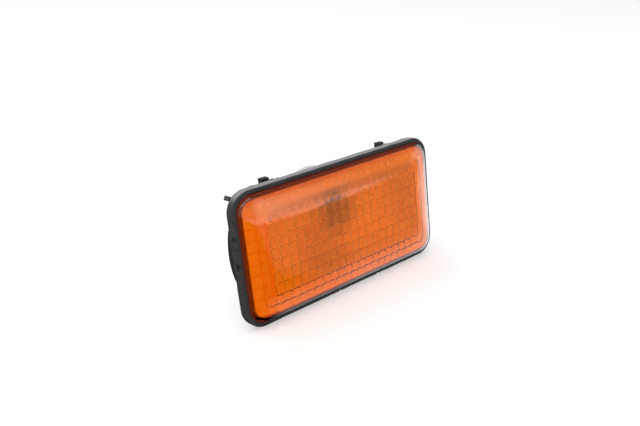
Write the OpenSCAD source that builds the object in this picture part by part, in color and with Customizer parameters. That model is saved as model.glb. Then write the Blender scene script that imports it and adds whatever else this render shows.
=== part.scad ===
// Side repeater lamp: an amber lens on a moulded housing, with a rubber gasket and a wedge-base bulb.
// Each module is drawn face up, with x to the right, y up and z out of the body panel towards the viewer.
// stand_up() then turns it so that the lamp faces -Y and the outer face of the panel is the plane Y = 0.

/* [Outline] */
// Width over the gasket
frame_w = 84; // [80:1:92]
// Height over the gasket
frame_h = 43.4; // [41.6:0.2:48]
// Corner radius of the gasket
corner_r = 7; // [6.2:0.2:9]
// Assembly clearance between moulded parts
fit_gap = 0.1; // [0.05:0.05:0.2]

/* [Gasket] */
// Thickness of the gasket's outer wall
rim_wall = 1; // [0.8:0.1:1.3]
// Thickness of the lip that seals on the panel
lip_t = 0.8; // [0.6:0.1:1.2]
// Clearance between that lip and the housing box
lip_gap = 0.2; // [0.1:0.1:1]
// How far the rim stands proud of the lens flange
rim_proud = 0.2; // [0.1:0.1:0.5]

/* [Lens] */
// Thickness of the lens flange
lens_flange_t = 1; // [0.8:0.1:1.4]
// Width of the flange that shows round the dome
flange_show = 0.8; // [0.6:0.1:1.4]
// Rise of the dome over the flange
dome_rise = 4.2; // [3.6:0.1:5.2]
// How squarely the dome rises from its edge: 2 is an ellipse, and more is flatter on top
dome_power = 3; // [2.4:0.1:4]
// Thickness of the dome's side wall
side_wall = 1.6; // [1.3:0.1:1.9]
// Thickness of the dome's face
face_wall = 2; // [1.6:0.1:2.2]
// Width of the sloping border at the two ends, inside the face
end_border = 6.8; // [5.6:0.1:8]
// Width of that border along the top
top_border = 8; // [6.4:0.1:9]
// Width of that border along the bottom
low_border = 6.2; // [5.4:0.1:8]
// Clearance between the prisms at the foot of the sloping border and the reflector's rim
eave_gap = 0.15; // [0.1:0.05:0.4]
// Height of the moulded prisms
prism_rise = 0.45; // [0.3:0.05:0.6]
// Columns of prisms
field_cols = 20; // [14:1:22]
// Rows of prisms up the level centre
field_rows = 6; // [5:1:8]

/* [Housing] */
// Thickness of the housing flange
body_flange_t = 1; // [0.8:0.1:1.4]
// Distance from the ends of the gasket to the housing box, on average
box_end = 8; // [7.5:0.1:9]
// Distance from the top and the bottom of the gasket to the housing box
box_side = 5.2; // [5.1:0.1:5.7]
// How far the box lies to the right of the lamp's centre
box_shift = 2; // [1.5:0.1:2.4]
// Depth of the box behind the panel
box_depth = 12; // [11.6:0.2:14]
// Wall thickness of the box
box_wall = 1.6; // [1.2:0.1:1.8]
// Corner radius of the box
box_r = 4; // [3:0.5:5]
// Height of the collar that takes the bulb holder
collar_h = 3.5; // [2.5:0.5:5]
// Outer radius of that collar
collar_r = 12; // [11.5:0.1:12.2]

/* [Hooks] */
// Distance from the left end of the box to the first hook's finger
hook_first = 10.7; // [8:0.1:13]
// Distance from the last hook's finger to the right end of the box
hook_last = 5.8; // [5.2:0.1:9]
// Width of a hook's finger
finger_w = 2.7; // [2:0.1:3.5]
// Width of the stem that carries it
stem_w = 3; // [2.5:0.1:4]
// How far a finger stays behind the edge of the flange
finger_inset = 0.4; // [0:0.1:0.8]
// Distance from the panel's outer face to the hooks
hook_drop = 7.4; // [6.4:0.1:7.6]
// Thickness of a hook
hook_t = 2.1; // [1.5:0.1:2.5]
// Distance behind the panel's outer face where the hook's ramp starts to grip
ramp_start = 1.4; // [1:0.1:3]
// Height of the bowed spring on the left end
spring_span = 16.4; // [14:0.2:20]
// How far the spring bows out
spring_bow = 1.1; // [0.8:0.1:1.6]
// How far the spring stands out from the end of the box
spring_out = 7; // [6.4:0.1:7.8]
// Thickness of the spring
spring_t = 1.2; // [0.9:0.1:1.6]
// Width of the spring
spring_w = 4.3; // [3:0.1:5.2]
// Reach of the peg at the upper left corner
peg_reach = 8.2; // [5:0.1:8.6]

/* [Reflector] */
// Thickness of the reflector tray
tray_t = 0.8; // [0.6:0.1:1]
// Clearance between the tray's back and the nose of the bulb holder
nose_gap = 0.3; // [0.1:0.1:1]
// How far the tray's sides slope in from its mouth to its floor
tray_slope = 5.4; // [4:0.2:6]

/* [Bulb holder] */
// Place of the holder to the right of the lamp's centre
holder_x = 5; // [0:0.5:9]
// Place of the holder above the lamp's centre
holder_y = 2.7; // [1:0.1:2.8]
// Radius of the holder's cap
cap_r = 13.5; // [12.6:0.1:14]
// Thickness of the cap
cap_t = 4; // [3:0.5:5]
// Clearance between the bulb and the nose that plugs into the housing
bulb_gap = 1.2; // [0.8:0.1:1.3]
// Wall of the nose
nose_wall = 2.1; // [1.8:0.1:2.2]
// Reach of the three ears beyond the nose
ear_reach = 1.8; // [1.2:0.1:2.2]
// Width of an ear
ear_w = 5.6; // [4.5:0.1:6.5]
// Thickness of an ear
ear_t = 1.3; // [1:0.1:1.5]
// Thickness of the seal under the cap
seal_t = 0.8; // [0.6:0.1:1.2]
// Clearance between a blade and the end wall of the plug socket
socket_gap = 1; // [0.6:0.1:2]
// Height of the plug socket
socket_h = 8; // [7:0.5:9]
// Depth of the plug socket
socket_depth = 6.5; // [5.5:0.5:8]
// Wall of the plug socket
socket_wall = 1.5; // [1.2:0.1:1.8]

/* [Bulb] */
// Radius of the glass envelope
glass_r = 5; // [4.6:0.1:5.4]
// Wall of the envelope
glass_t = 0.6; // [0.4:0.1:0.8]
// Length of the envelope from its shoulder to its tip
glass_len = 14.4; // [13:0.2:15.4]
// Width of the wedge base
wedge_w = 9.4; // [9.2:0.1:9.6]
// Thickness of the wedge base
wedge_t = 2.1; // [2:0.1:2.4]
// Length of the wedge base
wedge_len = 10; // [9:0.2:10.4]
// Radius of the lead wires
wire_r = 0.2; // [0.15:0.05:0.25]
// Radius of the coiled filament
coil_r = 0.3; // [0.25:0.05:0.4]
// Distance between the lead wires
wire_pitch = 6; // [5.4:0.1:6.4]
// Thickness of the contact strip
strip_t = 0.4; // [0.3:0.1:0.5]
// Width of a contact's spring finger
strip_w = 2.8; // [2.4:0.1:3]
// Thickness of a plug blade
blade_t = 0.8; // [0.6:0.1:1]
// How far the blades stand out beyond the fingers
blade_step = 1.6; // [1.4:0.1:1.8]

/* [Hidden] */
$fn = 48;
// Overlap that keeps joined shapes and cuts clean
eps = 0.05;
// Overrun of a cut past the surface that it opens
over = 1;
// Heights of the stacked flanges
body_flange_z = lip_t;
lens_z = body_flange_z + body_flange_t;
flange_top = lens_z + lens_flange_t;
rim_top = flange_top + rim_proud;
face_top = flange_top + dome_rise;
// Outlines of the flanges inside the gasket's wall
flange_w = frame_w - 2 * (rim_wall + fit_gap);
flange_h = frame_h - 2 * (rim_wall + fit_gap);
flange_r = corner_r - rim_wall - fit_gap;
// Outline of the dome where it leaves the flange
dome_w = flange_w - 2 * flange_show;
dome_h = flange_h - 2 * flange_show;
dome_r = flange_r - flange_show;
// The dome's level lines grow rounder from its edge up to this inset, and the last one encloses the ridge
dome_soft = 11;
dome_roundest = 0.75;
dome_steps = 11;
ridge_half = 0.6;
// The hollow under the dome
hollow_w = dome_w - 2 * side_wall;
hollow_h = dome_h - 2 * side_wall;
hollow_r = dome_r - side_wall;
roof_z = face_top - face_wall;
eave_z = lens_z + tray_t + prism_rise + eave_gap;
border_fall = roof_z - eave_z;
field_w = hollow_w - 2 * end_border;
field_h = hollow_h - top_border - low_border;
field_drop = (top_border - low_border) / 2;
field_r = 0.3;
// Prisms: share of a cell that its flat top keeps, how deep its foot lies in the lens, and how far the
// groove between two prisms stands over the bare skin
prism_top = 0.55;
prism_foot = 0.3;
groove_rise = 0.08;
mitre_lap = 0.12;
eave_lap = 0.5;
border_rows = 2;
cell_w = field_w / field_cols;
cell_h = field_h / field_rows;
// The box behind the panel
box_w = frame_w - 2 * box_end;
box_h = frame_h - 2 * box_side;
box_left = box_shift - box_w / 2;
lip_w = min(box_side, box_end - box_shift) - rim_wall - lip_gap;
box_inner_w = box_w - 2 * box_wall;
box_inner_h = box_h - 2 * box_wall;
box_inner_r = box_r - box_wall;
collar_z = -box_depth - collar_h;
nose_r = glass_r + bulb_gap + nose_wall;
bore_gap = 0.3;
bore_r = nose_r + bore_gap;
notch_w = ear_w + 2 * bore_gap;
notch_r = nose_r + ear_reach + bore_gap;
ears = 3;
// The notches stand at this turn, and the holder is twisted by lock_turn to catch its ears behind the wall
notch_turn = 90;
lock_turn = 60;
// Hooks and spring
hook_x = box_left + hook_first;
hook_pitch = box_w - hook_first - hook_last;
finger_reach = flange_h / 2 - finger_inset;
spring_reach = spring_out - box_left;
neck_drop = 1.4;
finger_gap = 1.7;
rib_t = 1.2;
spring_z = -2.2;
peg_w = 1.5;
peg_t = 2.5;
peg_z = -7;
peg_turn = 152.5;
// Reflector tray
tray_fit = 0.2;
mouth_w = box_inner_w - 2 * tray_fit - 2 * tray_t;
mouth_h = box_inner_h - 2 * tray_fit - 2 * tray_t;
tray_steps = 4;
tray_curve = 1.6;
tray_floor_r = 4;
tray_hole_gap = 1.5;
// Bulb holder, measured down from the panel
cap_z = collar_z - seal_t;
cap_back = cap_z - cap_t;
cap_round = 0.8;
ear_gap = 0.2;
ear_z = -box_depth + box_wall + ear_gap;
nose_lip = 0.4;
nose_z = ear_z + ear_t + nose_lip;
tray_depth = -nose_z - nose_gap;
wing_t = 2;
wing_h = 4;
wing_in = 4.5;
// The bulb stands in the holder: its shoulder rests on the floor of the nose
pocket_gap = 0.15;
shoulder_lift = 0.8;
shoulder_z = cap_z + shoulder_lift;
wedge_z = shoulder_z - wedge_len;
tip_z = shoulder_z + glass_len;
pocket_z = wedge_z - 2 * wire_r - pocket_gap;
bridge_t = 1.4;
socket_z = pocket_z - bridge_t;
body_back = socket_z - socket_depth;
socket_w = wire_pitch + strip_w + 2 * (blade_step + socket_gap);
socket_r = 1;
latch_w = 4;
latch_h = 1.2;
latch_len = 3;
latch_flat = 1;
// Contacts: the finger bears on the folded wire, and the strip then steps to the middle of the socket
finger_y = wedge_t / 2 + 2 * wire_r;
finger_short = 1.5;
finger_top = shoulder_z - finger_short;
slot_gap = 0.15;
blade_tail = 1;
fold_len = 5.5;
coil_drop = 7;

// Turns a shape drawn face up so that it faces -Y with its top at +Z
module stand_up() {
    rotate([90, 0, 0]) children();
}

// Flat outline with round corners
module rounded_rect(w, h, r) {
    square([w - 2 * r, h], center = true);
    square([w, h - 2 * r], center = true);
    for (sx = [-1, 1], sy = [-1, 1])
        translate([sx * (w / 2 - r), sy * (h / 2 - r)]) circle(r = r);
}

// Plate with round corners between two heights
module slab(w, h, r, z0, z1) {
    translate([0, 0, z0]) linear_extrude(z1 - z0) rounded_rect(w, h, r);
}

// Carries a section round a rounded rectangle. The section's x is counted from the corner's centre.
module sweep_round(w, h, r) {
    run_x = w / 2 - r;
    run_y = h / 2 - r;
    for (sx = [0, 1], sy = [0, 1])
        mirror([sx, 0, 0]) mirror([0, sy, 0])
            translate([run_x, run_y, 0]) rotate_extrude(angle = 90) children();
    for (side = [0, 1]) {
        rotate([0, 0, 180 * side]) translate([run_x, run_y, 0])
            rotate([90, 0, 0]) linear_extrude(2 * run_y) children();
        rotate([0, 0, 90 + 180 * side]) translate([run_y, run_x, 0])
            rotate([90, 0, 0]) linear_extrude(2 * run_x) children();
    }
}

// Points of a rounded rectangle at one height, as [x, y, z]
arc_steps = 6;
corner_points = arc_steps + 1;
ring_points = 4 * corner_points;
function ring(w, h, r, z, shift = [0, 0]) = [
    for (q = [0:3], k = [0:arc_steps])
        let (a = 90 * (q + k / arc_steps),
            sx = q == 0 || q == 3 ? 1 : -1,
            sy = q < 2 ? 1 : -1)
        [shift.x + sx * (w / 2 - r) + r * cos(a), shift.y + sy * (h / 2 - r) + r * sin(a), z]
];

// Closed solid through a stack of rings, lowest first
module loft(rings) {
    last = len(rings) - 1;
    points = [for (one = rings) each one];
    walls = [
        for (i = [0:last - 1], k = [0:ring_points - 1])
            let (n = (k + 1) % ring_points, a = i * ring_points, b = a + ring_points)
            [a + k, b + k, b + n, a + n]
    ];
    floor_face = [for (k = [0:ring_points - 1]) k];
    roof_face = [for (k = [ring_points - 1:-1:0]) last * ring_points + k];
    polyhedron(points, concat(walls, [floor_face, roof_face]), convexity = 6);
}

// Height of the dome's skin at an inset from its edge
function dome_height(inset) =
    dome_rise * pow(1 - pow(1 - 2 * inset / dome_h, dome_power), 1 / dome_power);

// Insets of the dome's rings: close together at the steep edge
function dome_inset(i) = (dome_h / 2 - ridge_half) * pow(i / dome_steps, 2);

// Corner radius of the dome's skin at an inset from its edge
function dome_corner(inset) =
    let (foot = 2 * dome_r / dome_h)
    (dome_h / 2 - inset) * (foot + (dome_roundest - foot) * min(1, inset / dome_soft));

module dome() {
    loft(concat(
        [ring(dome_w, dome_h, dome_r, lens_z + eps)],
        [for (i = [0:dome_steps])
            let (inset = dome_inset(i))
            ring(dome_w - 2 * inset, dome_h - 2 * inset, dome_corner(inset),
                flange_top + dome_height(inset))]
    ));
}

// Hollow of the lens: upright sides, four sloping borders that meet in mitres, and a level centre
module hollow() {
    loft([
        ring(hollow_w, hollow_h, hollow_r, lens_z - eps),
        ring(hollow_w, hollow_h, hollow_r, eave_z),
        ring(field_w, field_h, field_r, roof_z, [0, -field_drop])
    ]);
}

// One moulded prism: a pillow with four sloping sides that run on into the lens, so that neighbours meet
// in a groove
module prism(w, h) {
    spread = 1 + (1 - prism_top) * (prism_foot + groove_rise) / (prism_rise - groove_rise);
    square_points = [[-1, -1], [1, -1], [1, 1], [-1, 1]];
    points = [
        for (level = [[prism_top, -prism_rise], [spread, prism_foot]], s = square_points)
            [s.x * w / 2 * level[0], s.y * h / 2 * level[0], level[1]]
    ];
    sides = [for (k = [0:3]) [k, 4 + k, 4 + (k + 1) % 4, (k + 1) % 4]];
    hull() polyhedron(points, concat(sides, [[0, 1, 2, 3], [7, 6, 5, 4]]));
}

// Grid of prisms centred on its own origin
module prism_grid(cols, rows, w, h) {
    for (c = [0:cols - 1], r = [0:rows - 1])
        translate([(c - (cols - 1) / 2) * w, (r - (rows - 1) / 2) * h, 0]) prism(w, h);
}

// Wedge over one border, cut off just past the mitres. Its inner end is moved sideways by lean.
module mitre(inner_half, outer_half, near, far, lean) {
    lap = eave_lap / (far - near);
    low = near - eave_lap;
    high = far + eave_lap;
    low_half = inner_half - (outer_half - inner_half) * lap + mitre_lap;
    high_half = outer_half + (outer_half - inner_half) * lap + mitre_lap;
    low_mid = lean * (1 + lap);
    high_mid = -lean * lap;
    translate([0, 0, eave_z - over]) linear_extrude(face_top - eave_z)
        polygon([[low_mid - low_half, low], [low_mid + low_half, low], [high_mid + high_half, high],
            [high_mid - high_half, high]]);
}

// Prisms on a sloping border that starts at the distance near from the middle and ends in the side wall,
// past the distance far
module border(near, far, inner_half, outer_half, cols, pitch, lean = 0) {
    slope = atan2(border_fall, far - near);
    run = (far + eave_lap - near) / cos(slope);
    extra = ceil((outer_half + eave_lap + abs(lean) - inner_half) / pitch);
    intersection() {
        translate([lean, near, roof_z]) rotate([-slope, 0, 0]) translate([0, run / 2, 0])
            prism_grid(cols + 2 * extra, border_rows, pitch, run / border_rows);
        mitre(inner_half, outer_half, near, far, lean);
    }
}

// The borders' prisms run on from the columns and rows of the centre
module lens_optics() {
    translate([0, -field_drop, roof_z]) prism_grid(field_cols, field_rows, cell_w, cell_h);
    for (s = [-1, 1]) {
        rotate([0, 0, 90 - 90 * s])
            border(field_h / 2 - s * field_drop, hollow_h / 2, field_w / 2, hollow_w / 2, field_cols,
                cell_w);
        rotate([0, 0, 90 * s])
            border(field_w / 2, hollow_w / 2, field_h / 2, hollow_h / 2, field_rows, cell_h,
                -s * field_drop);
    }
}

module lens() {
    color([0.95, 0.42, 0.05, 0.85]) stand_up() {
        difference() {
            union() {
                slab(flange_w, flange_h, flange_r, lens_z, flange_top);
                dome();
            }
            hollow();
        }
        lens_optics();
    }
}

// Gasket section: outer wall with a round tip, and the lip that lies on the panel
module gasket_section() {
    wall_in = corner_r - rim_wall;
    tip_r = rim_wall / 2;
    translate([wall_in, 0]) square([rim_wall, rim_top - tip_r]);
    translate([corner_r - tip_r, rim_top - tip_r]) circle(r = tip_r);
    translate([wall_in - lip_w, 0]) square([lip_w + eps, lip_t]);
}

module gasket() {
    color([0.12, 0.12, 0.12]) stand_up()
        sweep_round(frame_w, frame_h, corner_r) gasket_section();
}

// L-shaped hook: a stem on the box wall with a finger that points along the lamp, a rib behind it, and in
// front of it a ramp that bears on the edge of the panel's cut-out
module hook(x) {
    root = box_h / 2 - eps;
    stem_x = x + finger_w / 2;
    neck_top = finger_reach - neck_drop;
    translate([0, 0, -hook_drop - hook_t]) linear_extrude(hook_t) {
        translate([stem_x - eps, root]) square([stem_w, neck_top - root]);
        translate([x - finger_w / 2, root + finger_gap])
            square([finger_w, finger_reach - root - finger_gap]);
    }
    translate([stem_x + (stem_w - rib_t) / 2, 0, 0]) rotate([90, 0, 90]) linear_extrude(rib_t) {
        polygon([[root, -hook_drop - hook_t + eps], [neck_top, -hook_drop - hook_t + eps],
            [root, -box_depth]]);
        polygon([[root, -hook_drop - eps], [neck_top, -hook_drop - eps], [root, -ramp_start]]);
    }
}

// Bowed spring on the left end: an arched strip held at both ends
module end_spring() {
    bow_r = (pow(spring_span / 2, 2) + pow(spring_bow, 2)) / (2 * spring_bow);
    leg_x = -spring_reach + spring_bow + spring_t / 2;
    translate([0, 0, spring_z - spring_w]) linear_extrude(spring_w) {
        intersection() {
            translate([bow_r - spring_reach, 0]) difference() {
                circle(r = bow_r, $fn = 180);
                circle(r = bow_r - spring_t, $fn = 180);
            }
            translate([-spring_reach - over, -spring_span / 2])
                square([spring_bow + spring_t + 2 * over, spring_span]);
        }
        for (side = [0, 1])
            mirror([0, side]) translate([leg_x, spring_span / 2 - spring_t])
                square([box_left - leg_x + eps, spring_t]);
    }
}

// Peg at the upper left corner that goes behind the panel first
module corner_peg() {
    translate([box_left + box_r / 2, box_h / 2 - box_r / 2, peg_z])
        rotate([0, 0, peg_turn]) translate([0, -peg_w / 2, 0]) cube([peg_reach, peg_w, peg_t]);
}

module at_holder() {
    translate([holder_x, holder_y, 0]) children();
}

module housing() {
    color([0.11, 0.11, 0.12]) stand_up() {
        difference() {
            union() {
                slab(flange_w, flange_h, flange_r, body_flange_z, lens_z);
                translate([box_shift, 0, 0]) slab(box_w, box_h, box_r, -box_depth, lens_z - eps);
                at_holder() translate([0, 0, collar_z]) cylinder(r = collar_r, h = collar_h + eps);
            }
            translate([box_shift, 0, 0])
                slab(box_inner_w, box_inner_h, box_inner_r, -box_depth + box_wall, lens_z + eps);
            at_holder() translate([0, 0, collar_z - eps]) {
                cylinder(r = bore_r, h = collar_h + box_wall + 3 * eps);
                for (k = [0:ears - 1])
                    rotate([0, 0, notch_turn + 360 * k / ears]) translate([0, -notch_w / 2, 0])
                        cube([notch_r, notch_w, collar_h + box_wall + 3 * eps]);
            }
        }
        for (side = [0, 1], k = [0, 1])
            mirror([0, side, 0]) hook(hook_x + k * hook_pitch);
        end_spring();
        corner_peg();
    }
}

// Rings of the tray, from its floor up to its rim, grown by the tray's own thickness for the outer skin
function tray_rings(grow, floor_z, top_z) = [
    for (i = [0:tray_steps])
        let (t = i / tray_steps,
            out = grow - tray_slope * (1 - t),
            r = tray_floor_r + (box_inner_r - tray_floor_r) * t)
        ring(mouth_w + 2 * out, mouth_h + 2 * out, r, floor_z + (top_z - floor_z) * pow(t, tray_curve),
            [box_shift, 0])
];

module reflector() {
    rim_z = lens_z + tray_t;
    color([0.86, 0.87, 0.88]) stand_up() difference() {
        union() {
            slab(hollow_w - 2 * tray_fit, hollow_h - 2 * tray_fit, hollow_r - tray_fit, lens_z, rim_z);
            loft(tray_rings(tray_t, -tray_depth, lens_z + eps));
        }
        loft(tray_rings(0, -tray_depth + tray_t, rim_z + eps));
        at_holder() translate([0, 0, -tray_depth - over])
            cylinder(r = glass_r + tray_hole_gap, h = tray_depth + rim_z + 2 * over);
    }
}

// Contact strip: an upright finger on the bulb's folded wire, a step over the bridge, and a blade in the
// plug socket. The other contact is the same strip turned half round.
module contact(side) {
    step_z = socket_z + bridge_t - pocket_gap;
    in_x = wire_pitch / 2 - strip_w / 2;
    tail = body_back + blade_tail;
    at_holder() mirror([side, 0, 0]) mirror([0, side, 0]) {
        translate([in_x, finger_y, step_z - eps]) cube([strip_w, strip_t, finger_top - step_z + eps]);
        translate([in_x, -blade_t / 2, step_z - strip_t])
            cube([strip_w + blade_step, finger_y + strip_t + blade_t / 2, strip_t]);
        translate([in_x + blade_step, -blade_t / 2, tail])
            cube([strip_w, blade_t, step_z - tail]);
    }
}

module contact_left() {
    color([0.78, 0.62, 0.28]) stand_up() contact(1);
}

module contact_right() {
    color([0.78, 0.62, 0.28]) stand_up() contact(0);
}

// Channel in the holder for one contact and its folded wire
module contact_channel(side) {
    slot_w = strip_w + 2 * slot_gap;
    in_x = wire_pitch / 2 - slot_w / 2;
    in_y = -blade_t / 2 - slot_gap;
    depth_y = finger_y + strip_t + slot_gap;
    mirror([side, 0, 0]) mirror([0, side, 0]) {
        translate([in_x, 0, pocket_z]) cube([slot_w, depth_y, shoulder_z - pocket_z + eps]);
        translate([in_x, in_y, socket_z - eps])
            cube([slot_w + blade_step, depth_y - in_y, bridge_t + 2 * eps]);
    }
}

module bulb_holder() {
    outer_w = socket_w + 2 * socket_wall;
    outer_h = socket_h + 2 * socket_wall;
    color([0.72, 0.73, 0.7]) stand_up() at_holder() difference() {
        union() {
            rotate_extrude()
                polygon([[0, cap_back], [cap_r - cap_round, cap_back], [cap_r, cap_back + cap_round],
                    [cap_r, cap_z], [0, cap_z]]);
            translate([0, 0, cap_z - eps]) cylinder(r = nose_r, h = nose_z - cap_z + eps);
            for (k = [0:ears - 1])
                rotate([0, 0, notch_turn - lock_turn + 360 * k / ears])
                    translate([0, -ear_w / 2, ear_z]) cube([nose_r + ear_reach, ear_w, ear_t]);
            slab(outer_w, outer_h, socket_r + socket_wall, body_back, cap_back + eps);
            for (s = [0, 1])
                rotate([0, 0, 180 * s]) translate([cap_r - wing_in, -wing_t / 2, cap_back - wing_h])
                    cube([wing_in - cap_round, wing_t, wing_h + eps]);
            translate([-latch_w / 2, 0, body_back]) rotate([90, 0, 90]) linear_extrude(latch_w)
                polygon([[outer_h / 2 - eps, 0], [outer_h / 2 + latch_h, latch_len],
                    [outer_h / 2 + latch_h, latch_len + latch_flat],
                    [outer_h / 2 - eps, latch_len + latch_flat]]);
        }
        translate([0, 0, shoulder_z]) cylinder(r = nose_r - nose_wall, h = nose_z - shoulder_z + over);
        translate([-wedge_w / 2 - pocket_gap, -wedge_t / 2 - pocket_gap, pocket_z])
            cube([wedge_w + 2 * pocket_gap, wedge_t + 2 * pocket_gap, shoulder_z - pocket_z + eps]);
        for (side = [0, 1]) contact_channel(side);
        slab(socket_w, socket_h, socket_r, body_back - eps, socket_z);
    }
}

module holder_seal() {
    color([0.14, 0.14, 0.14]) stand_up() at_holder() translate([0, 0, cap_z]) difference() {
        cylinder(r = collar_r - cap_round / 2, h = seal_t);
        translate([0, 0, -eps]) cylinder(r = bore_r + fit_gap, h = seal_t + 2 * eps);
    }
}

// Half section of the envelope: straight side, round tip
module envelope_section(r, low, tip) {
    intersection() {
        union() {
            translate([0, low]) square([r, tip - r - low]);
            translate([0, tip - r]) circle(r = r);
        }
        translate([0, low]) square([r + over, tip - low]);
    }
}

// Bulb glass: a round envelope closed on a flat wedge, with a tight channel for each lead wire
module bulb_glass() {
    throat = 2;
    inner_r = glass_r - glass_t;
    color([0.9, 0.93, 0.95, 0.4]) stand_up() at_holder() difference() {
        union() {
            rotate_extrude() envelope_section(glass_r, shoulder_z, tip_z);
            translate([-wedge_w / 2, -wedge_t / 2, wedge_z])
                cube([wedge_w, wedge_t, wedge_len + eps]);
        }
        rotate_extrude() envelope_section(inner_r, shoulder_z + throat, tip_z - glass_t);
        for (side = [-1, 1])
            translate([side * wire_pitch / 2, 0, wedge_z - eps])
                cylinder(r = wire_r, h = wedge_len + throat + 2 * eps, $fn = 24);
    }
}

coil_z = tip_z - coil_drop;

module bulb_filament() {
    color([0.4, 0.4, 0.42]) stand_up() at_holder()
        translate([-wire_pitch / 2 + wire_r, 0, coil_z]) rotate([0, 90, 0])
            cylinder(r = coil_r, h = wire_pitch - 2 * wire_r, $fn = 24);
}

// Lead wire: up through the wedge to the filament, and folded back outside along the wedge's face
module lead(side) {
    fold_y = wedge_t / 2 + wire_r;
    fold_z = wedge_z - wire_r;
    at_holder() mirror([side, 0, 0]) mirror([0, side, 0]) translate([wire_pitch / 2, 0, fold_z]) {
        cylinder(r = wire_r, h = coil_z + coil_r - fold_z, $fn = 24);
        sphere(r = wire_r, $fn = 24);
        rotate([-90, 0, 0]) cylinder(r = wire_r, h = fold_y, $fn = 24);
        translate([0, fold_y, 0]) {
            sphere(r = wire_r, $fn = 24);
            cylinder(r = wire_r, h = fold_len, $fn = 24);
        }
    }
}

module bulb_lead_left() {
    color([0.7, 0.7, 0.72]) stand_up() lead(1);
}

module bulb_lead_right() {
    color([0.7, 0.7, 0.72]) stand_up() lead(0);
}

gasket();
lens();
housing();
reflector();
bulb_holder();
holder_seal();
contact_left();
contact_right();
bulb_glass();
bulb_filament();
bulb_lead_left();
bulb_lead_right();
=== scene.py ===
"""Side repeater lamp: amber lens, rubber gasket, black housing and twist-in bulb holder, standing on a pale table."""

import math

import bmesh
import bpy
from mathutils import Matrix, Vector, noise


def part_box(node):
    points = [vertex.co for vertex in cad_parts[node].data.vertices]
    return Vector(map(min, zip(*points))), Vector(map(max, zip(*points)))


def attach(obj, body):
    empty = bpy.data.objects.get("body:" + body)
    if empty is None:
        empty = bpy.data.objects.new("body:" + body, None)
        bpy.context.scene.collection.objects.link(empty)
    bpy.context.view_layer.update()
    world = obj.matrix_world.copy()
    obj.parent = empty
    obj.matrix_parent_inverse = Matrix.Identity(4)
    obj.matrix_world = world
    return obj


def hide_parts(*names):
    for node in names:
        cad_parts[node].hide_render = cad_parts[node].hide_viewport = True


bl_info = {
    "name": "Side repeater lamp",
    "version": (1, 0, 0),
    "blender": (4, 5, 0),
    "location": "View3D > Sidebar > Lamp",
    "description": "Dresses the packed side repeater lamp and sets it on a pale studio table",
    "category": "Object",
}

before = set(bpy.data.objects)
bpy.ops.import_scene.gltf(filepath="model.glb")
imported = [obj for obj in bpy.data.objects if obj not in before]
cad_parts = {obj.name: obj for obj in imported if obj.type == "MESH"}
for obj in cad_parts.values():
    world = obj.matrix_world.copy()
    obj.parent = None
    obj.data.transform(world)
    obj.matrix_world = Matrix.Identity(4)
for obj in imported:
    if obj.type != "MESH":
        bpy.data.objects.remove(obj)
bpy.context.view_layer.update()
MM = 0.001

# The lamp leans back on the gasket's rear edge and its lower hooks
FLOOR_POINT = Vector((0, 0, -21.7)) * MM
FLOOR_NORMAL = Vector((0, -0.15596, 0.98776)).normalized()


# ---------------------------------------------------------------- settings

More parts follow.
